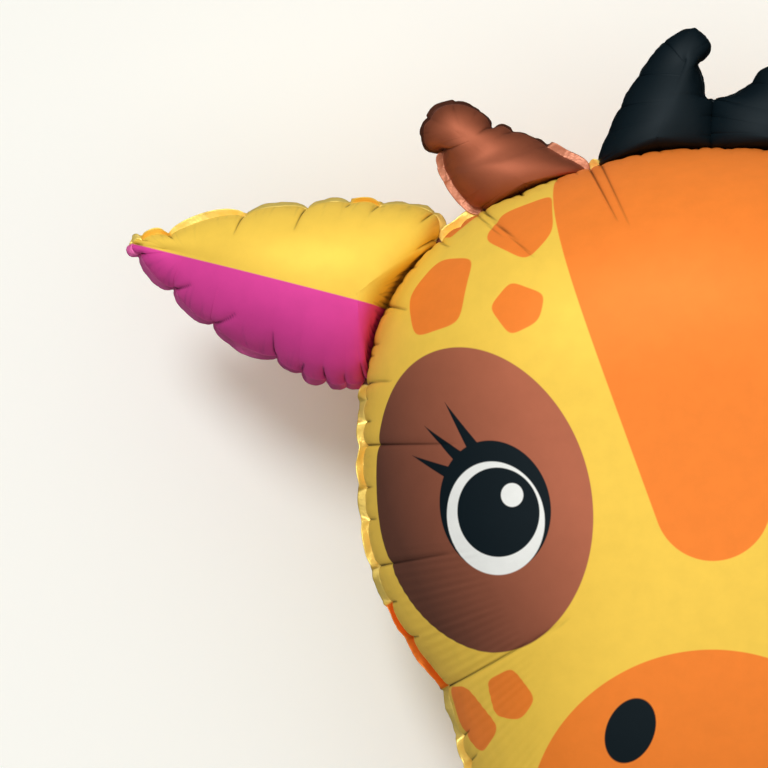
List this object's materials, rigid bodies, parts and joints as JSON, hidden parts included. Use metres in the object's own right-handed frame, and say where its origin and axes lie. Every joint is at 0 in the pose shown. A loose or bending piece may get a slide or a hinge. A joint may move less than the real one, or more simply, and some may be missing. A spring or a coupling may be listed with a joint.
{
  "type": "giraffe head foil balloon",
  "caption": "Shaped foil balloon of a giraffe's head with ears, knobbed horns and swept mane, inflated, with a scalloped welded rim, lying on its back.",
  "frame": {"origin": "middle of the flat spot on the back of the head, where the balloon rests", "axes": "+Z out of the face, +Y from the chin to the mane, +X towards the ear on the right of the face as seen from the front"},
  "size_m": [1.0012, 0.831, 0.3518],
  "materials": {
    "foil": "satin printed metallised film"
  },
  "bodies": {
    "root": {"balloon_envelope": "foil"}
  },
  "joints": []
}
